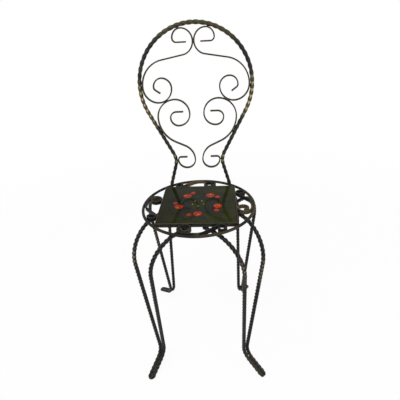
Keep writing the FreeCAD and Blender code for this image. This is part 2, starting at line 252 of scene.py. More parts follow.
def addBump(tree, surface, height, strength, depth):
    bump = addNode(tree, "ShaderNodeBump")
    bump.inputs["Strength"].default_value = strength
    bump.inputs["Distance"].default_value = depth
    tree.links.new(height, bump.inputs["Height"])
    tree.links.new(bump.outputs["Normal"], surface.inputs["Normal"])


# camera
view = {"place": (0.0478563, -0.5858149, 0.6979729), "yaw": -0.0751, "pitch": 0.4997,
        "roll": -0.0552, "focalPixels": 323.85, "imagePixels": 400, "sensor": 36.0,
        "clipStart": 0.01}

pickNone()
bpy.ops.object.camera_add(location=view["place"])
camera = bpy.context.object
camera.name = "photoCamera"
camera.data.sensor_width = view["sensor"]
camera.data.lens = view["focalPixels"] / view["imagePixels"] * view["sensor"]
camera.data.clip_start = view["clipStart"]
yaw, pitch, roll = view["yaw"], view["pitch"], view["roll"]
ahead = Vector((math.sin(yaw), math.cos(yaw), 0))
sideways = Vector((math.cos(yaw), -math.sin(yaw), 0))
upright = ahead * math.sin(pitch) + Vector((0, 0, math.cos(pitch)))
forward = ahead * math.cos(pitch) - Vector((0, 0, math.sin(pitch)))
rightward = sideways * math.cos(roll) + upright * math.sin(roll)
upward = upright * math.cos(roll) - sideways * math.sin(roll)
camera.rotation_euler = Matrix((rightward, upward, -forward)).transposed().to_euler()
scene.camera = camera
print("camera set, lens", round(camera.data.lens, 2))


# iron finish: dark waxed iron, bronze rubbed over it in places, gilding with painted highlights on
# the faces that look forwards
wax = {"noises": {"patches": {"scale": 22},
                  "blotches": {"scale": 75, "detail": 4, "rough": 0.6, "warp": 0.4},
                  "grain": {"scale": 520, "detail": 4, "rough": 0.65},
                  "pits": {"scale": 1400, "detail": 2, "rough": 0.5}},
       "noiseMiddle": 0.5,
       "cool": (0.62, 1.0, 0.92, 1), "coolRange": (0.4, 0.65),
       "dust": (0.028, 0.027, 0.024, 1), "dustRange": (0.55, 0.8),
       "washHeap": {"blotches": 0.35, "patches": 0.45, "grain": 0.2},
       "washSpread": {"from": 0.72, "lower": 0.45, "soft": 0.16},
       "washThin": 0.55, "washGrain": (0.35, 0.65),
       "rubGrain": 1.4, "rubRange": (0.75, 1.15), "rubAmount": 0.8,
       "gildFront": (0.88, 0.985), "gildGrain": (0.25, 0.5),
       "green": (0.055, 0.13, 0.085, 1), "greenAmount": 0.75,
       "greenHeap": {"grain": 0.4, "blotches": 0.6},
       "greenSpread": {"from": 0.8, "lower": 0.45, "soft": 0.12},
       "rough": 0.27,
       "roughBy": {"wash": 0.12, "blotches": 0.3, "green": 0.25, "rubbed": -0.08, "gilding": -0.1},
       "metalBy": {"wash": 0.25, "rubbed": 0.5, "gilding": 0.75},
       "heightBy": {"grain": 0.3, "blotches": 0.55, "pits": 0.15}}
spotFade = (0.2, 1.2)          # shares of a spot's radius
# the gilt colour and the gilding amounts also paint highlights on the faces that look forwards
ironTone = {"dark": (0.0085, 0.009, 0.008), "bronze": (0.060, 0.045, 0.023),
            "gilt": (0.50, 0.41, 0.17), "rub": (0.060, 0.057, 0.048),
            "wash": 0.2, "washSpots": (), "gilding": 0.0, "gildingSpots": (),
            "verdigris": 0.0, "verdigrisSpots": (),
            "bump": 0.7, "bumpDepth": 0.0006, "gloss": 0.18}


def heaped(tree, heap, amount, spread):
    # as the amount rises, more of the heap is covered
    start = calc(tree, "SUBTRACT", spread["from"], calc(tree, "MULTIPLY", amount, spread["lower"]))
    return fade(tree, heap, start, calc(tree, "ADD", start, spread["soft"]))


def makeIronFinish():
    tree = bpy.data.node_groups.new("ironFinish", "ShaderNodeTree")
    for way, kind, names in (("INPUT", "Color", ("Dark", "Bronze", "Gilt", "Rub")),
                             ("INPUT", "Float", ("Wash", "Gilding", "Verdigris", "Front", "Crest")),
                             ("OUTPUT", "Color", ("Color",)),
                             ("OUTPUT", "Float", ("Roughness", "Metallic", "Height"))):
        for name in names:
            tree.interface.new_socket(name=name, in_out=way, socket_type="NodeSocket" + kind)
    given = addNode(tree, "NodeGroupInput").outputs
    where = addNode(tree, "ShaderNodeTexCoord").outputs["Object"]
    masks = {name: noise(tree, where, **shape) for name, shape in wax["noises"].items()}
    grain = masks["grain"]
    # wax on the iron: bluish green where thick, plain where thin, dusty in the grain
    cool = mixColour(tree, 1.0, given["Dark"], wax["cool"], "MULTIPLY")
    iron = mixColour(tree, fade(tree, masks["blotches"], *wax["coolRange"]), given["Dark"], cool)
    iron = mixColour(tree, fade(tree, grain, *wax["dustRange"]), iron, wax["dust"])
    # bronze wash
    heap = weighed(tree, masks, wax["washHeap"])
    masks["wash"] = heaped(tree, heap, given["Wash"], wax["washSpread"])
    thin = mixColour(tree, wax["washThin"], given["Bronze"], iron)
    bronze = mixColour(tree, fade(tree, grain, *wax["washGrain"]), thin, given["Bronze"])
    iron = mixColour(tree, masks["wash"], iron, bronze)
    # rubbed edges: lighter wear on most pieces, painted shade on the crests of the hoop
    uneven = calc(tree, "SUBTRACT", grain, wax["noiseMiddle"])
    rubbed = calc(tree, "ADD", given["Crest"], calc(tree, "MULTIPLY", uneven, wax["rubGrain"]))
    masks["rubbed"] = fade(tree, rubbed, *wax["rubRange"])
    iron = painted(tree, iron, given["Rub"], masks["rubbed"], wax["rubAmount"])
    # gilding with a painted highlight: the gilt colour goes on the faces that look forwards
    brushed = calc(tree, "MULTIPLY", fade(tree, given["Front"], *wax["gildFront"]),
                   fade(tree, grain, *wax["gildGrain"]))
    masks["gilding"] = calc(tree, "MULTIPLY", brushed, given["Gilding"], clamp=True)
    iron = mixColour(tree, masks["gilding"], iron, given["Gilt"])
    # verdigris
    heap = weighed(tree, masks, wax["greenHeap"])
    masks["green"] = heaped(tree, heap, given["Verdigris"], wax["greenSpread"])
    iron = painted(tree, iron, wax["green"], masks["green"], wax["greenAmount"])
    metals = [calc(tree, "MULTIPLY", masks[name], share) for name, share in wax["metalBy"].items()]
    result = addNode(tree, "NodeGroupOutput").inputs
    tree.links.new(iron, result["Color"])
    tree.links.new(weighed(tree, masks, wax["roughBy"], wax["rough"]), result["Roughness"])
    tree.links.new(strongest(tree, *metals), result["Metallic"])
    tree.links.new(weighed(tree, masks, wax["heightBy"]), result["Height"])
    return tree


ironFinish = makeIronFinish()


def spotted(tree, where, amount, spots):
    # a plain amount, raised inside soft balls of (x, y, z, radius, amount)
    for x, y, z, radius, more in spots:
        apart = addNode(tree, "ShaderNodeVectorMath", operation="DISTANCE")
        tree.links.new(where, apart.inputs[0])
        apart.inputs[1].default_value = (x, y, z)
        near = below(tree, apart.outputs["Value"], *(radius * share for share in spotFade))
        amount = strongest(tree, amount, calc(tree, "MULTIPLY", near, more))
    return amount


def toned(**changes):
    return {**ironTone, **changes}


def ironMaterial(name, finish):
    material, tree, surface = newMaterial(name)
    group = addNode(tree, "ShaderNodeGroup", node_tree=ironFinish)
    where = addNode(tree, "ShaderNodeTexCoord").outputs["Object"]
    for label in ("Dark", "Bronze", "Gilt", "Rub"):
        group.inputs[label].default_value = (*finish[label.lower()], 1)
    for label in ("Wash", "Gilding", "Verdigris"):
        key = label.lower()
        amount = spotted(tree, where, finish[key], finish[key + "Spots"])
        feed(tree, group.inputs[label], amount)
    for label in ("Front", "Crest"):
        mark = addNode(tree, "ShaderNodeAttribute", attribute_name=label.lower())
        tree.links.new(mark.outputs["Fac"], group.inputs[label])
    tree.links.new(group.outputs["Color"], surface.inputs["Base Color"])
    tree.links.new(group.outputs["Roughness"], surface.inputs["Roughness"])
    tree.links.new(group.outputs["Metallic"], surface.inputs["Metallic"])
    addBump(tree, surface, group.outputs["Height"], finish["bump"], finish["bumpDepth"])
    surface.inputs["Specular IOR Level"].default_value = finish["gloss"]
    return material


# paths drawn as curves
arcStep = 60          # degrees in one piece of an arc, at most


def arcHandle(radius, turn):
    # handles of this length make a piece of the curve round
    return 4 / 3 * math.tan(turn / 4) * radius


def knotsAlong(start, facing, moves):
    # each move is (length, 0) straight ahead or (radius, turn in degrees)
    point, angle = Vector((*start, 0)), math.radians(facing)
    knots = [[point, point, point]]
    for amount, turn in moves:
        parts = max(1, math.ceil(abs(turn) / arcStep))
        step = math.radians(turn) / parts
        for part in range(parts):
            ahead = Vector((math.cos(angle), math.sin(angle), 0))
            along = Vector((math.cos(angle + step / 2), math.sin(angle + step / 2), 0))
            angle += step
            ending = Vector((math.cos(angle), math.sin(angle), 0))
            stride = 2 * amount * math.sin(abs(step) / 2) if turn else amount
            handle = arcHandle(amount, abs(step)) if turn else amount / 3
            knots[-1][2] = point + ahead * handle
            point = point + along * stride
            knots.append([point, point - ending * handle, point])
    return knots


def knotsRound(corners, radii):
    # straight runs between corners in space, each corner rounded
    knots = [[corners[0], corners[0], corners[0]]]

    def reachTo(point, arriving, leaving, handle):
        knots[-1][2] = knots[-1][0] + arriving * handle
        knots.append([point, point - leaving * handle, point])

    for before, corner, after, radius in zip(corners, corners[1:], corners[2:], radii):
        towards, away = (corner - before).normalized(), (after - corner).normalized()
        turn = towards.angle(away)
        cut = radius * math.tan(turn / 2)
        first, second = corner - towards * cut, corner + away * cut
        reachTo(first, towards, towards, (first - knots[-1][0]).length / 3)
        reachTo(second, towards, away, arcHandle(radius, turn))
    last = (corners[-1] - corners[-2]).normalized()
    reachTo(corners[-1], last, last, (corners[-1] - knots[-1][0]).length / 3)
    return knots


def swellWire(wire, shares):
    for point, share in zip(wire.data.splines[0].bezier_points, shares):
        point.radius = share


def drawWire(name, knots, smoothness):
    pickNone()
    bpy.ops.curve.primitive_bezier_curve_add()
    wire = bpy.context.object
    wire.name = name
    wire.data.resolution_u = smoothness
    points = wire.data.splines[0].bezier_points
    points.add(len(knots) - len(points))
    for point, (place, before, after) in zip(points, knots):
        point.handle_left_type = point.handle_right_type = "FREE"
        point.co, point.handle_left, point.handle_right = place, before, after
    swellWire(wire, [1.0] * len(knots))
    return wire


# twisted square bar: a square section drawn out, twisted, then bent along its wire
twisting = {"sectionPoints": 8, "edgeSegments": 2, "middleShare": 0.01, "crestShare": 0.3,
            "smoothUnder": 50}


def twistedBar(name, wire, bar):
    length = wire.data.splines[0].calc_length()
    turns = length / bar["pitch"]
    steps = math.ceil(turns * bar["ringsPerTurn"])
    pickNone()
    bpy.ops.mesh.primitive_circle_add(vertices=twisting["sectionPoints"],
                                      radius=bar["side"] / math.sqrt(2), fill_type="NGON")
    rod = bpy.context.object
    rod.name = name
    nearAxis = bar["side"] * twisting["middleShare"]
    pickVerts(rod, lambda co: min(abs(co.x), abs(co.y)) < nearAxis)          # middles of the flats
    bpy.ops.transform.resize(value=(math.sqrt(0.5), math.sqrt(0.5), 1))
    pickVerts(rod, lambda co: min(abs(co.x), abs(co.y)) > nearAxis)          # corners
    bpy.ops.mesh.bevel(offset=bar["edgeRound"], segments=twisting["edgeSegments"],
                       affect="VERTICES")
    bpy.ops.object.mode_set(mode="OBJECT")
    rod.rotation_euler.y = math.radians(90)
    settle(rod)
    bpy.ops.object.mode_set(mode="EDIT")
    bpy.ops.mesh.select_mode(type="FACE")
    bpy.ops.mesh.select_all(action="SELECT")
    bpy.ops.mesh.extrude_repeat(steps=steps, offset=(length / steps, 0, 0))
    tidyMesh(rod)
    crestFrom = bar["side"] * twisting["crestShare"]
    markCrests(rod, lambda co: min(abs(co.y), abs(co.z)) > crestFrom)
    twist = rod.modifiers.new("twist", "SIMPLE_DEFORM")
    twist.deform_method = "TWIST"
    twist.deform_axis = "X"
    twist.angle = turns * math.tau
    bent = rod.modifiers.new("bent", "CURVE")
    bent.object = wire
    bent.deform_axis = "POS_X"
    applyModifiers(rod)
    bpy.data.objects.remove(wire)
    tidyMesh(rod)
    smoothUnder(rod, twisting["smoothUnder"])
    return rod


# flat strip on edge: a ribbon from the curve, thickened, edges eased
flattening = {"smoothness": 10, "crestShares": (0.36, 0.499), "smoothUnder": 40}


def flatStrip(name, path, strip):
    knots = knotsAlong(path["start"], path["facing"], path["moves"])
    wire = drawWire(name, knots, flattening["smoothness"])
    wire.data.dimensions = "2D"
    wire.data.fill_mode = "NONE"
    wire.data.extrude = strip["depth"] / 2
    pickOnly(wire)
    bpy.ops.object.convert(target="MESH")
    ribbon = bpy.context.object
    pickEdges(ribbon, lambda one, two: abs(one.z - two.z) > strip["depth"] / 2)
    bpy.ops.mesh.subdivide(number_cuts=1)
    tidyMesh(ribbon)
    thick = ribbon.modifiers.new("thick", "SOLIDIFY")
    thick.thickness = strip["thickness"]
    thick.offset = 0
    thick.use_even_offset = True
    easeEdges(ribbon, strip["easing"])
    tidyMesh(ribbon)
    crestFrom, crestTo = (strip["depth"] * share for share in flattening["crestShares"])
    markCrests(ribbon, lambda co: crestFrom < abs(co.z) < crestTo)
    smoothUnder(ribbon, flattening["smoothUnder"])
    return ribbon


# back hoop, drawn in the plane of the back from above the middle of the ring
hoop = {"side": 0.0064, "pitch": 0.050, "ringsPerTurn": 22, "edgeRound": 0.0007,
        "smoothness": 40, "bowTop": (0, 0.334539),
        "halfMoves": ((0.113481, -116.6), (0.101028, 0), (0.040, 42.8142), (0.049812, 0)),
        "planePlace": (0, 0.0925887, 0.366), "lean": 1.0}
hoopFinish = toned(dark=(0.0148, 0.0150, 0.0130), bronze=(0.086, 0.070, 0.034),
                   # on the hoop the gilt colour also paints highlights, and the dark rub colour
                   # paints shade along the crests of the twist
                   gilt=(0.62, 0.52, 0.22), rub=(0.019, 0.0185, 0.0155), wash=0.55,
                   washSpots=((0, 0.098, 0.74, 0.17, 1.05), (-0.107, 0.096, 0.55, 0.08, 1.0),
                              (0.11, 0.096, 0.565, 0.075, 1.05)),
                   # gilt with painted highlights at the sides and the waist
                   gildingSpots=((-0.107, 0.096, 0.552, 0.052, 1.0),
                                 (0.11, 0.096, 0.565, 0.045, 1.0),
                                 (-0.054, 0.094, 0.434, 0.016, 0.7),
                                 (0.053, 0.094, 0.433, 0.014, 0.8)))

stoodUp = Matrix.Rotation(math.radians(90 - hoop["lean"]), 4, "X")
backPlane = Matrix.Translation(hoop["planePlace"]) @ stoodUp
rightHalf = knotsAlong(hoop["bowTop"], 0, hoop["halfMoves"])
flip = Matrix.Diagonal((-1, 1, 1))
leftHalf = [[flip @ place, flip @ after, flip @ before]
            for place, before, after in reversed(rightHalf)]
leftHalf[-1][2] = rightHalf[0][2]
hoopKnots = [[backPlane @ spot for spot in knot] for knot in leftHalf + rightHalf[1:]]
hoopWire = drawWire("hoopWire", hoopKnots, hoop["smoothness"])
hoopBar = twistedBar("backHoopBar", hoopWire, hoop)
dressIron(hoopBar, ironMaterial("hoopIron", hoopFinish), "back_hoop")
print("back hoop twisted:", len(hoopBar.data.polygons), "faces")


# back scrolls, drawn on the right and mirrored
backStrip = {"thickness": 0.0027, "depth": 0.0064,
             "easing": {"width": 0.0004, "segments": 2, "over": 50}}
upperScroll = {"start": (0.013783, 0.301806), "facing": 0,
               "moves": ((0.018951, 0), (0.007490, 90), (0.016455, 90), (0.022469, 90),
                         (0.023945, 80), (0.044859, 0), (0.051521, -80), (0.030527, -90),
                         (0.028484, -90), (0.019519, -90), (0.017022, -90), (0.007036, -55),
                         (0.012029, 0))}
lowerScroll = {"start": (0.028391, 0.170717), "facing": 0,
               "moves": ((0.014951, 0), (0.012566, -90), (0.016542, -90), (0.024495, -90),
                         (0.030062, -90), (0.037537, -90), (0.058056, -65.2207), (0.021650, 0),
                         (0.035624, 65.2207), (0.018980, 90), (0.018980, 90), (0.006500, 90),
                         (0.014040, 0))}
scrollIron = ironMaterial("scrollIron", toned(wash=0.85, bronze=(0.065, 0.051, 0.028)))

for level, path in (("upper", upperScroll), ("lower", lowerScroll)):
    right = flatStrip(level + "RightStrip", path, backStrip)
    right.matrix_world = backPlane
    settle(right)
    left = ownCopy(right, level + "LeftStrip")
    left.scale.x = -1
    settle(left)
    tidyMesh(left)
    dressIron(right, scrollIron, level + "_right_scroll")
    dressIron(left, scrollIron, level + "_left_scroll")
print("back scrolls bent")


# seat scrolls, one drawn in front and turned to the other sides
seatStrip = {"thickness": 0.0034, "depth": 0.008, "bottom": 0.3623,
             "easing": {"width": 0.0005, "segments": 2, "over": 50}}
seatScroll = {"start": (-0.02661, -0.092601), "facing": -120,
              "moves": ((0.006137, 110), (0.010637, 190), (0.013637, 167.7192),
                        (0.110081, 13.1808), (0.024218, 40.4263), (0.032153, 0),
                        (0.008864, -221.3263), (0.005496, -150))}
seatTone = {"dark": (0.0085, 0.0083, 0.0072), "gloss": 0.1}
seatFinishes = {"front": toned(**seatTone, wash=0.35, bronze=(0.085, 0.070, 0.040),
                               washSpots=((-0.022, -0.096, 0.366, 0.026, 0.75),),
                               verdigrisSpots=((0.004, -0.108, 0.366, 0.013, 0.9),)),
                "right": toned(**seatTone, wash=0.25, bronze=(0.11, 0.080, 0.036),
                               washSpots=((0.095, -0.022, 0.366, 0.030, 1.1),)),
                "rear": toned(**seatTone, wash=0.25, bronze=(0.14, 0.105, 0.045),
                              washSpots=((-0.012, 0.105, 0.366, 0.036, 1.3),)),
                "left": toned(**seatTone, wash=0.3,
                              washSpots=((-0.095, 0.022, 0.366, 0.022, 0.9),))}

firstStrip = flatStrip("seatStrip", seatScroll, seatStrip)
for turn, (side, finish) in enumerate(seatFinishes.items()):
    strip = ownCopy(firstStrip, side + "SeatStrip")
    strip.location.z = seatStrip["bottom"] + seatStrip["depth"] / 2
    strip.rotation_euler.z = math.radians(90 * turn)
    settle(strip)
    dressIron(strip, ironMaterial(side + "SeatIron", finish), side + "_seat_scroll")
bpy.data.objects.remove(firstStrip)
print("seat scrolls bent")


# seat ring: round rod, a little uneven from the hammer
ring = {"radius": 0.1145815, "rod": 0.003, "height": 0.366, "steps": 220, "rodSteps": 16,
        "hammer": {"grain": 0.012, "depth": 0.00035, "level": 0.7}}
ringFinish = toned(dark=(0.0085, 0.0080, 0.0062), gloss=0.12, wash=0.42,
                   washSpots=((0.04, -0.11, 0.366, 0.08, 0.9), (0.11, 0.0, 0.366, 0.09, 1.0),
                              (-0.05, -0.10, 0.366, 0.06, 0.65),
                              (0.01, 0.115, 0.366, 0.09, 1.2)))

pickNone()
bpy.ops.mesh.primitive_torus_add(major_radius=ring["radius"], minor_radius=ring["rod"],
                                 major_segments=ring["steps"], minor_segments=ring["rodSteps"],
                                 location=(0, 0, ring["height"]))
ringRod = bpy.context.object
ringRod.name = "seatRingRod"
settle(ringRod)
roughened(ringRod, "hammer", ring["hammer"])
tidyMesh(ringRod)
bpy.ops.object.shade_smooth()
dressIron(ringRod, ironMaterial("ringIron", ringFinish), "seat_ring")
print("seat ring bent")


# tile frame: the mitred lengths with their edges eased
tileFrame = {"easing": {"width": 0.0004, "segments": 2, "over": 30}, "flatWithin": 2,
             "smoothUnder": 40}
frameIron = ironMaterial("frameIron", toned(wash=0.55, rub=(0.085, 0.048, 0.024)))

for side in ("front", "right", "rear", "left"):
    node = side + "_frame_side"
    length = ownCopy(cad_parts[node], side + "FrameLength")
    tidyMesh(length)
    pickAll(length)
    bpy.ops.mesh.dissolve_limited(angle_limit=math.radians(tileFrame["flatWithin"]))
    easeEdges(length, tileFrame["easing"])
    rim = max(vert.co.z for vert in length.data.vertices) - tileFrame["easing"]["width"]
    markCrests(length, lambda co: co.z > rim)
    smoothUnder(length, tileFrame["smoothUnder"])
    dressIron(length, frameIron, node)
print("tile frame eased")


# legs: one twisted bar each, folded at the toe, with a weld run between the bars of the toe
leg = {"side": 0.0064, "pitch": 0.036, "ringsPerTurn": 18, "edgeRound": 0.0007,
       "smoothness": 40, "top": 0.3578574, "crossing": (0.07064, 0.0409415), "tuck": 0.010,
       "knee": (0.156, 0.033), "kneeShare": 0.889,
       "ankle": (0.1345, 0.0295), "ankleRadius": 0.029,
       "toeLength": 0.0508, "toeHalfGap": 0.0043426, "toeDrop": 0.0003, "cutWithin": 0.000001,
       "swell": (1.0, 1.03, 1.065, 1.065, 1.0, 1.0, 1.0),          # thickness, top end to toe
       "toeTurns": {"straight": 0.5, "splayed": 20.5},
       "quarters": {"front_right_leg": ("straight", -45), "rear_right_leg": ("splayed", 45),
                    "rear_left_leg": ("straight", 135), "front_left_leg": ("splayed", 225)}}
legFinish = toned(dark=(0.0056, 0.0068, 0.0066), bronze=(0.048, 0.041, 0.029),
                  gilt=(0.20, 0.155, 0.085), wash=0.42, gloss=0.155,
                  # gilt with painted highlights near the knees
                  gildingSpots=((-0.125, -0.086, 0.298, 0.024, 1.3),
                                (-0.118, 0.0895, 0.216, 0.034, 1.0),
                                (0.087, -0.125, 0.288, 0.038, 1.3),
                                (0.125, -0.0885, 0.265, 0.036, 1.3)),
                  washSpots=((0.115, -0.115, 0.010, 0.055, 0.9),
                             (-0.105, -0.118, 0.010, 0.035, 0.45)))
legIron = ironMaterial("legIron", legFinish)
seam = {"radius": 0.0022, "roundness": 4, "smoothness": 24, "rise": 0.021,
        "lumps": {"grain": 0.0022, "depth": 0.0012, "level": 0.6},
        "taper": (0.05, 1.1, 1.05, 0.9), "from": {"straight": 0.66, "splayed": 0.0}}
seamIron = ironMaterial("seamIron", toned(wash=0.5, bump=1.0))


def toeLine(toeTurn):
    # the ankle and the tip, midway between the bars, and the step from there to one bar
    ankle = Vector((leg["ankle"][0], 0, leg["ankle"][1]))
    swing = Matrix.Rotation(math.radians(toeTurn), 3, "Z")
    slope = math.atan2(leg["ankle"][1] - leg["side"], leg["toeLength"])
    tip = ankle + swing @ Vector((1, 0, 0)) * leg["toeLength"]
    tip.z = (leg["toeHalfGap"] * math.sin(slope) + leg["side"] / 2 * math.cos(slope)
             - leg["toeDrop"])
    return ankle, tip, swing @ Vector((0, leg["toeHalfGap"], 0))


def legKnots(toeTurn):
    ankle, tip, beside = toeLine(toeTurn)
    halves = []
    for hand in (1, -1):
        knee = Vector((leg["knee"][0], hand * leg["knee"][1], leg["top"]))
        edge = Vector((leg["crossing"][0], hand * leg["crossing"][1], leg["top"]))
        end = edge + (edge - knee).normalized() * leg["tuck"]
        heel, toe = ankle + hand * beside, tip + hand * beside
        kneeTurn = (knee - edge).angle(heel - knee)
        kneeRadius = (knee - edge).length * leg["kneeShare"] / math.tan(kneeTurn / 2)
        halves.append(([end, knee, heel, toe], (kneeRadius, leg["ankleRadius"])))
    (down, downRadii), (up, upRadii) = halves
    knots, back = knotsRound(down, downRadii), knotsRound(up[::-1], upRadii[::-1])
    # round the tip in two quarter bends
    onward, inward = (down[-1] - down[-2]).normalized(), -beside.normalized()
    handle = arcHandle(leg["toeHalfGap"], math.pi / 2)
    front = tip + onward * leg["toeHalfGap"]
    knots[-1][2] = down[-1] + onward * handle
    back[0][1] = up[-1] + onward * handle
    return knots + [[front, front - inward * handle, front + inward * handle]] + back


def foldedLeg(kind, toeTurn):
    wire = drawWire("legWire", legKnots(toeTurn), leg["smoothness"])
    swellWire(wire, leg["swell"] + leg["swell"][-2::-1])
    bar = twistedBar(kind + "Leg", wire, leg)
    pickAll(bar)
    bpy.ops.mesh.bisect(plane_co=(0, 0, 0), plane_no=(0, 0, -1), clear_outer=True,
                        use_fill=True, threshold=leg["cutWithin"])          # worn flat on the floor
    bpy.ops.object.mode_set(mode="OBJECT")
    return bar


def toeSeam(kind, toeTurn):
    ankle, tip = toeLine(toeTurn)[:2]
    shin = Vector((leg["knee"][0], 0, leg["top"])) - ankle
    corners = [ankle + shin.normalized() * seam["rise"], ankle, tip]
    wire = drawWire(kind + "Seam", knotsRound(corners, (leg["ankleRadius"],)), seam["smoothness"])
    swellWire(wire, seam["taper"])
    wire.data.bevel_depth = seam["radius"]
    wire.data.bevel_resolution = seam["roundness"]
    wire.data.use_fill_caps = True
    wire.data.bevel_factor_start = seam["from"][kind]
    pickOnly(wire)
    bpy.ops.object.convert(target="MESH")
    run = bpy.context.object
    tidyMesh(run)
    roughened(run, "runLumps", seam["lumps"])
    bpy.ops.object.shade_smooth()
    return run


for kind, toeTurn in leg["toeTurns"].items():
    oneLeg, oneSeam = foldedLeg(kind, toeTurn), toeSeam(kind, toeTurn)
    for node, (wanted, turn) in leg["quarters"].items():
        if wanted != kind:
            continue
        words = node.split("_")
        name = words[0] + words[1].title()
        legBar, run = ownCopy(oneLeg, name + "LegBar"), ownCopy(oneSeam, name + "ToeSeam")
        for piece in (legBar, run):
            piece.rotation_euler.z = math.radians(turn)
            settle(piece)
        dressIron(legBar, legIron, node)
        dressIron(run, seamIron)
    bpy.data.objects.remove(oneLeg)
    bpy.data.objects.remove(oneSeam)
print("legs folded, toes welded")


# weld beads where the pieces meet
bead = {"radius": 0.0022, "roundness": 3, "squash": 0.75, "turns": (1.3, 2.1, 0.7),
        "lumps": {"grain": 0.0016, "depth": 0.0007, "level": 0.6},
        "back": ((0, 0.3033), (0.0283, 0.3263), (0.1090, 0.2212), (0.0633, 0.1929),
                 (0.0775, 0.1321), (0.0477, 0.064)),          # in the plane of the back
        "side": ((-0.0205, -0.0791, 0.366), (0.0473, -0.0791, 0.366), (-0.0200, -0.1103, 0.366),
                 (0.0789, 0.021, 0.3622), (0.0789, -0.021, 0.3622)),          # on each side
        "corner": (0.0789, 0.0789, 0.366), "foot": (0.0675, 0.0926, 0.3692),
        "swell": {"back": 0.8, "side": 1.0, "corner": 1.1, "foot": 1.25}}
beadIron = ironMaterial("beadIron", toned(wash=0.4, bump=1.0))

pickNone()
bpy.ops.mesh.primitive_ico_sphere_add(subdivisions=bead["roundness"], radius=bead["radius"])
oneBead = bpy.context.object
roughened(oneBead, "lumps", bead["lumps"])
bpy.ops.object.shade_smooth()

spots = []
for across, height in bead["back"]:
    for hand in ((1,) if across == 0 else (1, -1)):
        spots.append((backPlane @ Vector((hand * across, height, 0)), "back"))
for turn in range(4):
    swing = Matrix.Rotation(math.radians(90 * turn), 3, "Z")
    spots += [(swing @ Vector(place), "side") for place in bead["side"]]
    spots.append((swing @ Vector(bead["corner"]), "corner"))
for hand in (1, -1):
    spots.append((Vector((hand * bead["foot"][0], *bead["foot"][1:])), "foot"))
beads = []
for number, (place, kind) in enumerate(spots):
    swell = bead["swell"][kind]
    lump = ownCopy(oneBead, "bead")
    lump.location = place
    lump.rotation_euler = [number * turn for turn in bead["turns"]]
    lump.scale = (swell, swell, swell * bead["squash"])
    beads.append(lump)
bpy.data.objects.remove(oneBead)
pickOnly(beads[0])
for lump in beads:
    lump.select_set(True)
bpy.ops.object.join()
weldBeads = bpy.context.object
weldBeads.name = "weldBeads"
settle(weldBeads)
dressIron(weldBeads, beadIron)
print("weld beads:", len(spots))


# glazed tile: dark olive glaze over a painted wreath of leaves and berries
glaze = {"olive": (0.0235, 0.0280, 0.0066, 1), "deepOlive": (0.0128, 0.0164, 0.0040, 1),
         "bright": (0.038, 0.042, 0.0055, 1), "rim": (0.030, 0.025, 0.012, 1),
         "shade": (0.4, 0.4, 0.4, 1), "clay": (0.36, 0.25, 0.16, 1),
         "dullClay": (0.216, 0.15, 0.096, 1),
         "cloud": {"scale": 28, "detail": 4, "rough": 0.6, "warp": 0.8},
         "streak": {"scale": 110, "detail": 5, "rough": 0.6, "warp": 1.5},
         "ripple": {"scale": 45, "detail": 2}, "grit": {"scale": 900, "detail": 3, "rough": 0.6},
         "cloudRange": (0.35, 0.68), "frontRange": (-0.06, 0.02), "streakRange": (0.35, 0.7),
         "brightAmount": 0.6, "rimRange": (0.0742, 0.0759),
         "leftRange": (-0.085, 0.0), "shadeAmount": 0.8,
         "clayRange": (0.3646, 0.3652), "gritRange": (0.35, 0.65),
         "rough": 0.09, "roughBy": {"dulled": 0.12, "clay": 0.65}, "dulledRange": (0.5, 0.8),
         "bump": 0.25, "bumpDepth": 0.0005, "paintHeight": 0.25, "gloss": 0.042}
wreath = {"leaf": (0.0205, 0.0215, 0.0200, 1), "line": (0.003, 0.003, 0.003, 1),
          "berry": (0.42, 0.045, 0.015, 1), "berryShade": (0.24, 0.020, 0.009, 1),
          "speck": (0.36, 0.33, 0.10, 1), "lineAmount": 0.85, "speckAmount": 0.8,
          "berryStreak": (0.42, 0.62), "wobbleScale": 60, "wobble": 0.004,
          "radius": 0.042, "stemRange": (0.0006, 0.0013),
          "leafCount": 9, "leafTurn": 0.1, "leafLength": 0.0165, "leafWidth": 0.0066,
          "leafLean": 0.7, "leafOut": 0.0115, "leafSoft": 0.0006, "veinRange": (0.0003, 0.0009),
          "leafLine": (-0.0011, -0.0003), "berryCount": 5,
          "berryEdge": (-0.0008, 0.0), "berryLine": (0.0003, 0.0011),
          # turn, distance from the middle, radius
          "bigBerry": (0.3, 0.042, 0.0096), "smallBerry": (0.66, 0.048, 0.0058),
          "berryEye": (0.25, 0.045, 0.0021), "middleDot": (0.3, 0.0120, 0.0019)}


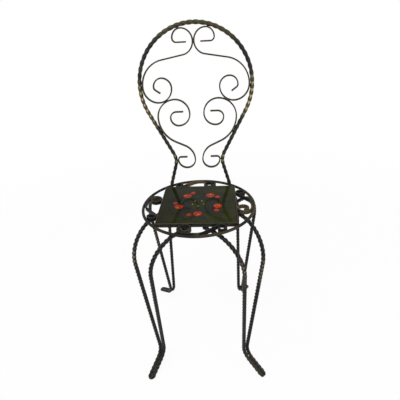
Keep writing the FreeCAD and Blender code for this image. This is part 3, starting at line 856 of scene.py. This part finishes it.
def paintWreath(tree, where):
    # brush wobble
    wobble = addNode(tree, "ShaderNodeTexNoise")
    tree.links.new(where, wobble.inputs["Vector"])
    wobble.inputs["Scale"].default_value = wreath["wobbleScale"]
    shift = addNode(tree, "ShaderNodeVectorMath", operation="MULTIPLY_ADD")
    tree.links.new(wobble.outputs["Color"], shift.inputs[0])
    shift.inputs[1].default_value = (wreath["wobble"], wreath["wobble"], 0)
    tree.links.new(where, shift.inputs[2])
    axes = addNode(tree, "ShaderNodeSeparateXYZ")
    tree.links.new(shift.outputs[0], axes.inputs[0])
    x, y = (calc(tree, "SUBTRACT", axes.outputs[axis], wreath["wobble"] / 2) for axis in "XY")
    radius, angle = hypotenuse(tree, x, y), calc(tree, "ARCTAN2", y, x)

    def around(count, turn, distance):
        # how far along and out from the nearest of several places on a circle
        part = math.pi / count
        turned = calc(tree, "WRAP", calc(tree, "ADD", angle, turn), part, -part)
        along = calc(tree, "MULTIPLY", radius, calc(tree, "SINE", turned))
        outward = calc(tree, "MULTIPLY", radius, calc(tree, "COSINE", turned))
        return along, calc(tree, "SUBTRACT", outward, distance)

    def leafMask(turn, out, lean):
        along, outward = around(wreath["leafCount"], turn, wreath["radius"] + out)
        down = calc(tree, "ADD", calc(tree, "MULTIPLY", along, math.cos(lean)),
                    calc(tree, "MULTIPLY", outward, math.sin(lean)))
        side = calc(tree, "SUBTRACT", calc(tree, "MULTIPLY", outward, math.cos(lean)),
                    calc(tree, "MULTIPLY", along, math.sin(lean)))
        side = calc(tree, "ABSOLUTE", side)
        # pointed at both ends
        share = calc(tree, "DIVIDE", down, wreath["leafLength"])
        bulge = calc(tree, "SUBTRACT", 1.0, calc(tree, "MULTIPLY", share, share))
        inside = calc(tree, "SUBTRACT", calc(tree, "MULTIPLY", bulge, wreath["leafWidth"]), side)
        fill = fade(tree, inside, 0.0, wreath["leafSoft"])
        line = fade(tree, inside, *wreath["leafLine"])
        vein = calc(tree, "MULTIPLY", fill, below(tree, side, *wreath["veinRange"]))
        return fill, strongest(tree, calc(tree, "SUBTRACT", line, fill), vein)

    def offSpot(turn, distance, size):
        # how far outside the nearest of the round spots, below 0 within it
        away = hypotenuse(tree, *around(wreath["berryCount"], turn, distance))
        return calc(tree, "SUBTRACT", away, size)

    turn, between = wreath["leafTurn"], math.pi / wreath["leafCount"]
    outer, outerLines = leafMask(turn, wreath["leafOut"], wreath["leafLean"])
    inner, innerLines = leafMask(turn + between, -wreath["leafOut"], -wreath["leafLean"])
    offStem = calc(tree, "ABSOLUTE", calc(tree, "SUBTRACT", radius, wreath["radius"]))
    stem = below(tree, offStem, *wreath["stemRange"])
    offBerry, offSpeck = (calc(tree, "MINIMUM", offSpot(*wreath[one]), offSpot(*wreath[two]))
                          for one, two in (("bigBerry", "smallBerry"), ("middleDot", "berryEye")))
    return {"leaves": strongest(tree, outer, inner),
            "lines": strongest(tree, outerLines, innerLines, stem),
            "berries": below(tree, offBerry, *wreath["berryEdge"]),
            "berryLines": below(tree, offBerry, *wreath["berryLine"]),
            "specks": below(tree, offSpeck, *wreath["berryEdge"])}


def makeGlaze():
    material, tree, surface = newMaterial("oliveGlaze")
    where = addNode(tree, "ShaderNodeTexCoord").outputs["Object"]
    axes = addNode(tree, "ShaderNodeSeparateXYZ")
    tree.links.new(where, axes.inputs[0])
    x, y, z = axes.outputs
    paint = paintWreath(tree, where)
    cloud, streak, ripple, grit = (noise(tree, where, **glaze[name])
                                   for name in ("cloud", "streak", "ripple", "grit"))
    # glaze colour, cloudy and streaked, yellower towards the front
    cloudy = fade(tree, cloud, *glaze["cloudRange"])
    colour = mixColour(tree, cloudy, glaze["deepOlive"], glaze["olive"])
    pool = calc(tree, "MULTIPLY", below(tree, y, *glaze["frontRange"]),
                fade(tree, streak, *glaze["streakRange"]))
    colour = painted(tree, colour, glaze["bright"], pool, glaze["brightAmount"])
    # wreath
    colour = mixColour(tree, paint["leaves"], colour, wreath["leaf"])
    for mask in ("lines", "berryLines"):
        colour = painted(tree, colour, wreath["line"], paint[mask], wreath["lineAmount"])
    streaked = fade(tree, streak, *wreath["berryStreak"])
    berry = mixColour(tree, streaked, wreath["berry"], wreath["berryShade"])
    colour = mixColour(tree, paint["berries"], colour, berry)
    colour = painted(tree, colour, wreath["speck"], paint["specks"], wreath["speckAmount"])
    # glaze thins at the rim
    reach = strongest(tree, *(calc(tree, "ABSOLUTE", axis) for axis in (x, y)))
    colour = mixColour(tree, fade(tree, reach, *glaze["rimRange"]), colour, glaze["rim"])
    # painted shade: darker to the left
    thick = calc(tree, "MULTIPLY", below(tree, x, *glaze["leftRange"]), glaze["shadeAmount"])
    colour = mixColour(tree, thick, colour, glaze["shade"], "MULTIPLY")
    # bare clay underneath
    clay = below(tree, z, *glaze["clayRange"])
    gritty = fade(tree, grit, *glaze["gritRange"])
    colour = mixColour(tree, clay, colour,
                       mixColour(tree, gritty, glaze["clay"], glaze["dullClay"]))
    tree.links.new(colour, surface.inputs["Base Color"])
    dulled = fade(tree, streak, *glaze["dulledRange"])
    rough = weighed(tree, {"dulled": dulled, "clay": clay}, glaze["roughBy"], glaze["rough"])
    tree.links.new(rough, surface.inputs["Roughness"])
    raised = strongest(tree, paint["leaves"], paint["berries"])
    height = calc(tree, "MULTIPLY_ADD", raised, glaze["paintHeight"], ripple)
    addBump(tree, surface, height, glaze["bump"], glaze["bumpDepth"])
    surface.inputs["Specular IOR Level"].default_value = glaze["gloss"]
    return material


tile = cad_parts["tile"]
tile.data.materials.clear()
tile.data.materials.append(makeGlaze())
print("tile glazed")


# floor, sky and lamps
studio = {"white": (1, 1, 1, 1), "floorSize": 12.0, "floorCuts": 8,
          "floorColour": (0.92, 0.92, 0.92, 1), "floorRough": 0.9, "floorGlow": 0.93,
          "clearRange": (0.7, 1.6), "skyFill": 0.55, "lampAim": (0, 0, 0.35),
          "lamps": {"key": {"place": (-0.9, -0.9, 2.0), "size": 1.6, "power": 22.0},
                    "fill": {"place": (1.4, -0.6, 1.3), "size": 1.6, "power": 8.0}}}


def seenRays(tree):
    # 1 for what the camera sees, also in gloss and through glass
    rays = addNode(tree, "ShaderNodeLightPath").outputs
    return strongest(tree, rays["Is Camera Ray"], rays["Is Glossy Ray"],
                     rays["Is Transmission Ray"])


pickNone()
bpy.ops.mesh.primitive_grid_add(x_subdivisions=studio["floorCuts"],
                                y_subdivisions=studio["floorCuts"], size=studio["floorSize"])
floor = bpy.context.object
floor.name = "paleFloor"
floorMaterial, tree, surface = newMaterial("palePaper")
surface.inputs["Base Color"].default_value = studio["floorColour"]
surface.inputs["Roughness"].default_value = studio["floorRough"]
glow = addNode(tree, "ShaderNodeEmission")
glow.inputs["Color"].default_value = studio["white"]
# whiter away from the chair, so the far edge melts into the backdrop
apart = addNode(tree, "ShaderNodeVectorMath", operation="LENGTH")
tree.links.new(addNode(tree, "ShaderNodeTexCoord").outputs["Object"], apart.inputs[0])
away = fade(tree, apart.outputs["Value"], *studio["clearRange"])
glowing = calc(tree, "MULTIPLY_ADD", away, 1.0 - studio["floorGlow"], studio["floorGlow"])
blend = addNode(tree, "ShaderNodeMixShader")
output = [node for node in tree.nodes if node.type == "OUTPUT_MATERIAL"][0]
tree.links.new(calc(tree, "MULTIPLY", seenRays(tree), glowing), blend.inputs[0])
tree.links.new(surface.outputs["BSDF"], blend.inputs[1])
tree.links.new(glow.outputs["Emission"], blend.inputs[2])
tree.links.new(blend.outputs["Shader"], output.inputs["Surface"])
floor.data.materials.append(floorMaterial)

sky = bpy.data.worlds.new("studioSky")
scene.world = sky
sky.use_nodes = True
tree = sky.node_tree
tree.nodes.clear()
sheen = addNode(tree, "ShaderNodeBackground")
sheen.inputs["Color"].default_value = studio["white"]
bright = calc(tree, "MULTIPLY_ADD", seenRays(tree), 1.0 - studio["skyFill"], studio["skyFill"])
tree.links.new(bright, sheen.inputs["Strength"])
output = addNode(tree, "ShaderNodeOutputWorld")
tree.links.new(sheen.outputs["Background"], output.inputs["Surface"])

for name, light in studio["lamps"].items():
    place = Vector(light["place"])
    bpy.ops.object.light_add(type="AREA", location=place)
    lamp = bpy.context.object
    lamp.name = name + "Lamp"
    lamp.data.size = light["size"]
    lamp.data.energy = light["power"]
    lamp.rotation_euler = (Vector(studio["lampAim"]) - place).to_track_quat("-Z", "Y").to_euler()
print("studio lit")
